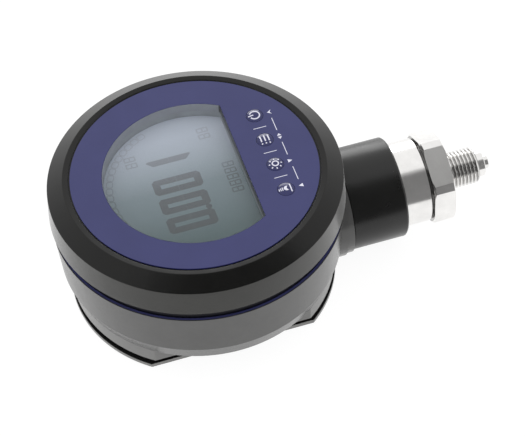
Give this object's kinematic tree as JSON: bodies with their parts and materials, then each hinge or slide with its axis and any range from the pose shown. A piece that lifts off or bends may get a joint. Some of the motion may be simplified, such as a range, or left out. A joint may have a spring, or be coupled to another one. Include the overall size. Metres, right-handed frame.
{
  "type": "digital pressure gauge",
  "caption": "Round digital pressure gauge lying on its back, with a segment display, domed keys, a swivelling neck and a threaded steel process connection.",
  "frame": {"origin": "middle of the battery cover's flat outer face, on the axis of the round case", "axes": "+Z out of the display, +Y towards the top of the display, -Y along the process connection"},
  "size_m": [0.102, 0.1575, 0.0536],
  "materials": {
    "case_plastic": "fine-grained satin moulding",
    "bezel_plastic": "fine-grained satin moulding",
    "neck_plastic": "smooth satin",
    "accent_plastic": "satin",
    "overlay_film": "printed matt film",
    "clear_pane": "clear polished",
    "display_grey": "reflective liquid crystal",
    "white_plastic": "white diffusing",
    "frame_plastic": "moulded",
    "rubber": "matt",
    "key_rubber": "domed, satin",
    "board": "solder mask",
    "black_component": "moulded",
    "socket_plastic": "moulded",
    "cell_can": "plain wrapped can",
    "spring_steel": "nickel plated",
    "stainless": "turned and polished",
    "sensor_metal": "ground"
  },
  "bodies": {
    "case": {"rear_case": "case_plastic", "battery_cover": "case_plastic", "front_bezel": "bezel_plastic", "accent_ring": "accent_plastic", "front_overlay": "overlay_film", "display_pane": "clear_pane", "display_glass": "display_grey", "light_guide": "white_plastic", "display_frame": "frame_plastic", "cover_gasket": "rubber", "case_seal": "rubber", "contact_strip": "rubber", "main_board": "board", "processor_chip": "black_component", "light_switch": "black_component", "zero_switch": "black_component", "menu_switch": "black_component", "power_switch": "black_component", "main_socket": "socket_plastic", "battery_cell_1": "cell_can", "battery_cell_2": "cell_can", "battery_cell_3": "cell_can", "contact_leaf_1": "spring_steel", "contact_leaf_2": "spring_steel", "contact_leaf_3": "spring_steel", "contact_plate_1": "spring_steel", "contact_plate_2": "spring_steel", "contact_plate_3": "spring_steel", "stop_pin": "spring_steel", "cover_screws": "spring_steel"},
    "stem": {"neck_sleeve": "neck_plastic", "process_connection": "stainless", "stem_seal": "rubber", "stem_clip": "spring_steel", "sensor_cell": "sensor_metal", "sensor_board": "board", "sensor_socket": "socket_plastic"},
    "light_key": {"light_key": "key_rubber"},
    "zero_key": {"zero_key": "key_rubber"},
    "menu_key": {"menu_key": "key_rubber"},
    "power_key": {"power_key": "key_rubber"}
  },
  "joints": [
    {"name": "stem_swivel", "type": "hinge", "parent": "case", "child": "stem", "pos_m": [0, -0.0507, 0.0186], "axis": [0, -1, 0], "range_deg": [-165, 165]},
    {"name": "light_key_press", "type": "slide", "parent": "case", "child": "light_key", "axis": [0, 0, -1], "range_m": [0, 0.0005], "stiffness_N_per_m": 3000},
    {"name": "zero_key_press", "type": "slide", "parent": "case", "child": "zero_key", "axis": [0, 0, -1], "range_m": [0, 0.0005], "stiffness_N_per_m": 3000},
    {"name": "menu_key_press", "type": "slide", "parent": "case", "child": "menu_key", "axis": [0, 0, -1], "range_m": [0, 0.0005], "stiffness_N_per_m": 3000},
    {"name": "power_key_press", "type": "slide", "parent": "case", "child": "power_key", "axis": [0, 0, -1], "range_m": [0, 0.0005], "stiffness_N_per_m": 3000}
  ]
}
